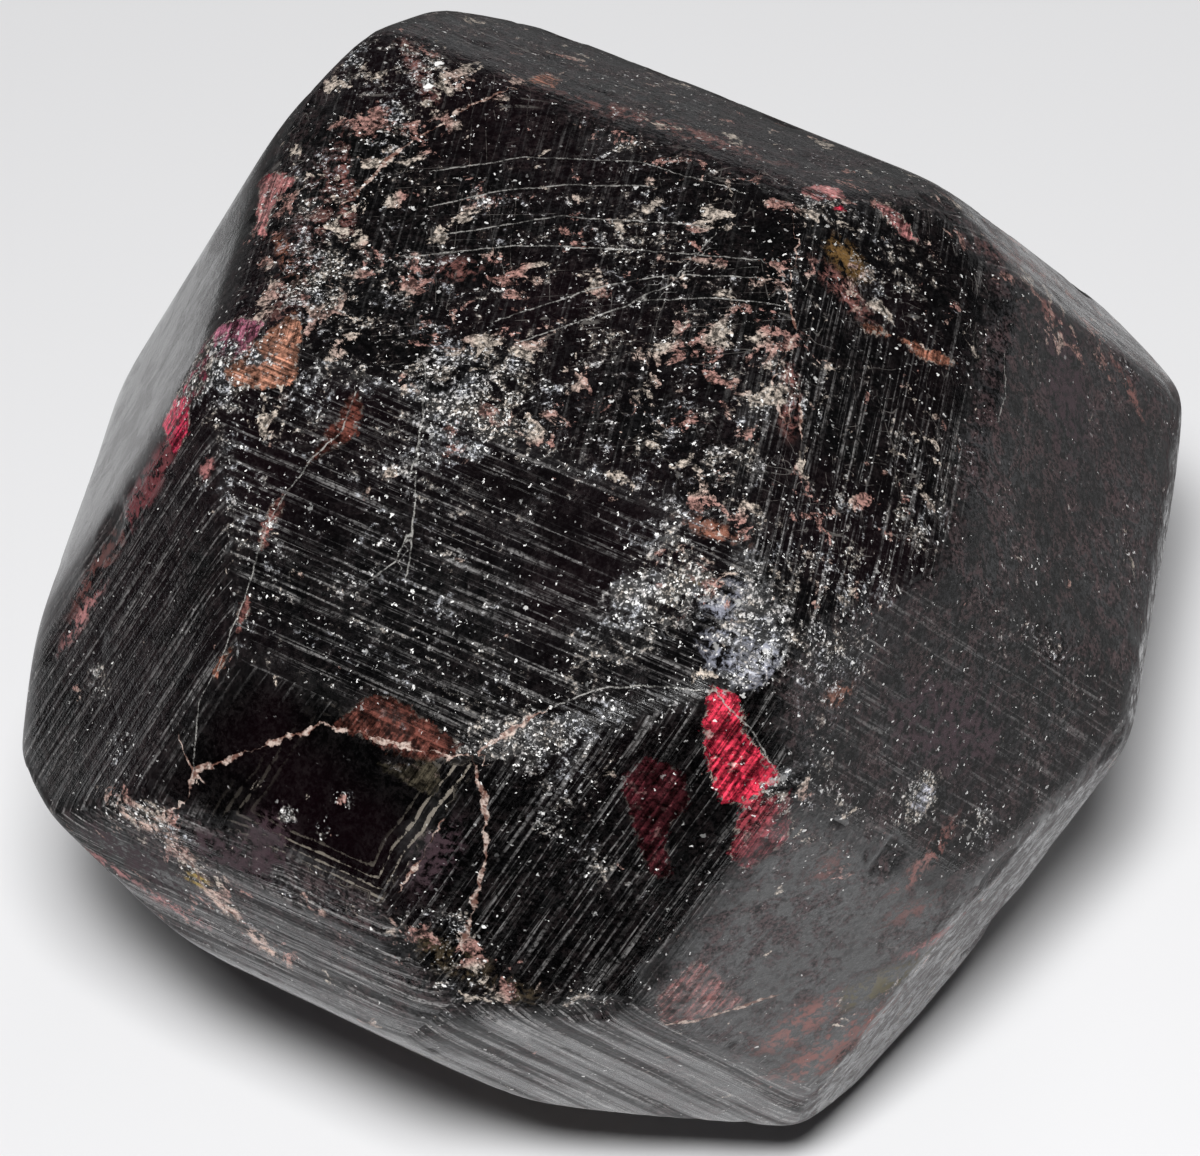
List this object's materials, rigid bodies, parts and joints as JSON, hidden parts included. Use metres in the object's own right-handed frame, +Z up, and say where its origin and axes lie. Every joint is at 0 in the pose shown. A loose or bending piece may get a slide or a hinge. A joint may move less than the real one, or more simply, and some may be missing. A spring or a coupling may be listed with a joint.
{
  "type": "garnet crystal",
  "caption": "Loose, nearly black red garnet crystal with flat rhombic and kite-shaped faces and worn edges, resting on one flat face.",
  "frame": {"origin": "on the surface that the crystal rests on, under the middle of its box", "axes": "+Z up, square to the rest face; the crystal's a axis is level and 22 degrees from +X towards +Y; the side with the small black lozenge face looks to -X and -Y"},
  "size_m": [0.0404, 0.0374, 0.031],
  "materials": {
    "garnet": "glassy, striated along the growth edges, pitted and frosted on worn edges, with deep red windows"
  },
  "bodies": {
    "root": {"garnet_crystal": "garnet"}
  },
  "joints": []
}
